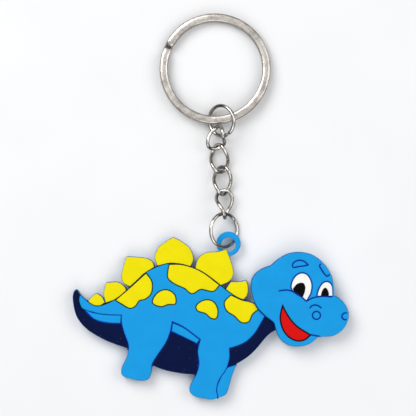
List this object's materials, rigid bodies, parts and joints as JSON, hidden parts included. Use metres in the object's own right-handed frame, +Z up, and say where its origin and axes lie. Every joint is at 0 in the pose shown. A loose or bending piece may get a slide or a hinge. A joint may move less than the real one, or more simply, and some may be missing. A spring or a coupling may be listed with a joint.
{
  "type": "charm keychain",
  "caption": "Flat moulded soft-PVC dinosaur charm hanging by jump rings and a short twisted chain from a round split key ring.",
  "frame": {"origin": "on the surface the keychain lies on, under the middle of the whole object's bounding box", "axes": "+Z up out of the charm's decorated face, +Y from the charm's feet along the chain to the split ring, +X towards the animal's head"},
  "size_m": [0.0752, 0.1048, 0.0068],
  "materials": {
    "blue_pvc": "satin soft PVC, sky blue",
    "yellow_pvc": "satin soft PVC, lemon yellow",
    "navy_pvc": "satin soft PVC, navy blue",
    "dark_line_pvc": "satin soft PVC, green-black",
    "blue_line_pvc": "satin soft PVC, dark blue",
    "red_pvc": "satin soft PVC, red",
    "white_pvc": "satin soft PVC, white",
    "black_pvc": "satin soft PVC, black",
    "chain_steel": "bright nickel plate on steel wire",
    "ring_steel": "nickel-plated flat spring steel, finely scratched"
  },
  "bodies": {
    "charm": {"charm_base": "blue_pvc", "outline_upper": "dark_line_pvc", "outline_lower": "blue_line_pvc", "body_panel": "blue_pvc", "tail_strip": "blue_pvc", "belly_strip": "blue_pvc", "far_leg": "blue_pvc", "tail_navy": "navy_pvc", "belly_navy": "navy_pvc", "throat_navy": "navy_pvc", "plate_1": "yellow_pvc", "plate_2": "yellow_pvc", "plate_3": "yellow_pvc", "plate_4": "yellow_pvc", "plate_5": "yellow_pvc", "plate_6": "yellow_pvc", "rear_patch": "yellow_pvc", "saddle_patch": "yellow_pvc", "shoulder_patch": "yellow_pvc", "spot_1": "yellow_pvc", "spot_2": "yellow_pvc", "head_block": "blue_pvc", "head_underlay": "dark_line_pvc", "head_panel": "blue_pvc", "mouth_red": "red_pvc", "eye_white_left": "white_pvc", "eye_white_right": "white_pvc", "pupil_left": "black_pvc", "pupil_right": "black_pvc", "near_brow": "blue_pvc", "near_nostril": "blue_pvc"},
    "lower_ring": {"lower_jump_ring": "chain_steel"},
    "link_4": {"chain_link_4": "chain_steel"},
    "link_3": {"chain_link_3": "chain_steel"},
    "link_2": {"chain_link_2": "chain_steel"},
    "link_1": {"chain_link_1": "chain_steel"},
    "upper_ring": {"upper_jump_ring": "chain_steel"},
    "key_ring": {"split_ring": "ring_steel"}
  },
  "joints": [
    {"name": "lower_ring_turn", "type": "hinge", "parent": "charm", "child": "lower_ring", "pos_m": [0.0036, -0.00636, 0.00324], "axis": [0.6018, 0, 0.7986], "range_deg": [-60, 60]},
    {"name": "link_4_swing", "type": "hinge", "parent": "lower_ring", "child": "link_4", "pos_m": [0.0036, -0.00186, 0.00324], "axis": [0.7986, 0, -0.6018], "range_deg": [-45, 45]},
    {"name": "link_3_swing", "type": "hinge", "parent": "link_4", "child": "link_3", "pos_m": [0.00363, 0.00443, 0.00202], "axis": [0.9959, 0.0344, 0.084], "range_deg": [-45, 12]},
    {"name": "link_2_swing", "type": "hinge", "parent": "link_3", "child": "link_2", "pos_m": [0.00311, 0.01077, 0.00193], "axis": [0.7754, 0.0421, 0.63], "range_deg": [-45, 45]},
    {"name": "link_1_swing", "type": "hinge", "parent": "link_2", "child": "link_1", "pos_m": [0.00203, 0.0168, 0.00183], "axis": [0.5822, 0.0786, 0.8092], "range_deg": [-10, 45]},
    {"name": "upper_ring_swing", "type": "hinge", "parent": "link_1", "child": "upper_ring", "pos_m": [0.00283, 0.02126, 0.00557], "axis": [0.3045, -0.592, 0.7462], "range_deg": [-12, 45]},
    {"name": "key_ring_turn", "type": "hinge", "parent": "upper_ring", "child": "key_ring", "pos_m": [0.00115, 0.03734, 0.00189], "axis": [0, 0.0462, 0.9989], "continuous": true}
  ]
}
